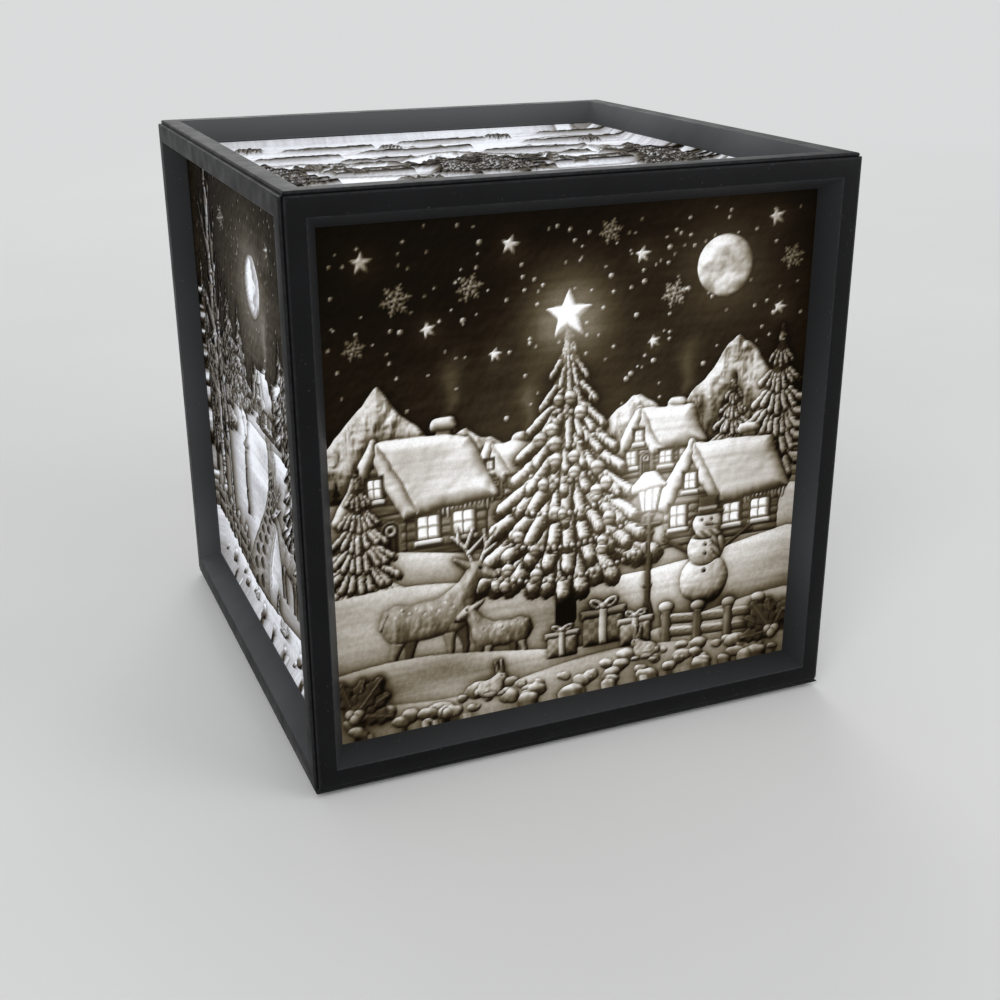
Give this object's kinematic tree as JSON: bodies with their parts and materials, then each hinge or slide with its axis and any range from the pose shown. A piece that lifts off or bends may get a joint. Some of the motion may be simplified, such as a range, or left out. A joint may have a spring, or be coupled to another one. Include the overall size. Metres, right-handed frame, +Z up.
{
  "type": "lithophane light cube",
  "caption": "Cube lamp of mitred black window bezels with back-lit relief picture panels, lifting off a battery base with a light board, slide switch and hinged door.",
  "frame": {"origin": "on the table, under the centre of the cube", "axes": "+Z up, -Y out of the front picture, +X to the right of someone facing it"},
  "size_m": [0.126, 0.126, 0.1275],
  "materials": {
    "frame_black": "satin black print",
    "lithophane": "translucent relief print",
    "foot_rubber": "matt",
    "cell_wrap": "shrink-wrapped",
    "contact_metal": "plated strip",
    "standoff_brass": "turned",
    "screw_steel": "zinc plated",
    "board_white": "white solder mask",
    "light_chip": "phosphor",
    "diffuser_opal": "opal",
    "inner_black": "moulded",
    "knob_white": "moulded",
    "lead_red": "insulated wire",
    "lead_black": "insulated wire"
  },
  "bodies": {
    "base": {"base_plate": "frame_black", "foot_front_left": "foot_rubber", "foot_back_left": "foot_rubber", "foot_front_right": "foot_rubber", "foot_back_right": "foot_rubber", "battery_holder": "inner_black", "battery_cell_1": "cell_wrap", "battery_cell_2": "cell_wrap", "battery_cell_3": "cell_wrap", "contact_positive": "contact_metal", "contact_negative": "contact_metal", "contact_link_left": "contact_metal", "contact_link_right": "contact_metal", "standoff_1": "standoff_brass", "standoff_2": "standoff_brass", "standoff_3": "standoff_brass", "standoff_4": "standoff_brass", "base_screw_1": "screw_steel", "base_screw_2": "screw_steel", "base_screw_3": "screw_steel", "base_screw_4": "screw_steel", "board_screw_1": "screw_steel", "board_screw_2": "screw_steel", "board_screw_3": "screw_steel", "board_screw_4": "screw_steel", "light_board": "board_white", "light_chip_1": "light_chip", "light_chip_2": "light_chip", "light_chip_3": "light_chip", "light_chip_4": "light_chip", "light_chip_5": "light_chip", "light_chip_6": "light_chip", "light_chip_7": "light_chip", "light_chip_8": "light_chip", "light_chip_9": "light_chip", "diffuser_dome": "diffuser_opal", "switch_body": "inner_black", "lead_battery_to_switch": "lead_red", "lead_switch_to_board": "lead_red", "lead_battery_to_board": "lead_black"},
    "shell": {"front_bezel": "frame_black", "right_bezel": "frame_black", "back_bezel": "frame_black", "left_bezel": "frame_black", "top_bezel": "frame_black", "front_lithophane": "lithophane", "right_lithophane": "lithophane", "back_lithophane": "lithophane", "left_lithophane": "lithophane", "top_lithophane": "lithophane"},
    "battery_door": {"battery_door": "frame_black"},
    "switch_slider": {"switch_slider": "knob_white"}
  },
  "joints": [
    {"name": "shell_lift", "type": "slide", "parent": "base", "child": "shell", "axis": [0, 0, 1], "range_m": [0, 0.14]},
    {"name": "battery_door_hinge", "type": "hinge", "parent": "base", "child": "battery_door", "pos_m": [-0.02605, 0, 0.003], "axis": [0, 1, 0], "range_deg": [0, 90]},
    {"name": "power_switch", "type": "slide", "parent": "base", "child": "switch_slider", "axis": [1, 0, 0], "range_m": [-0.0035, 0]}
  ]
}
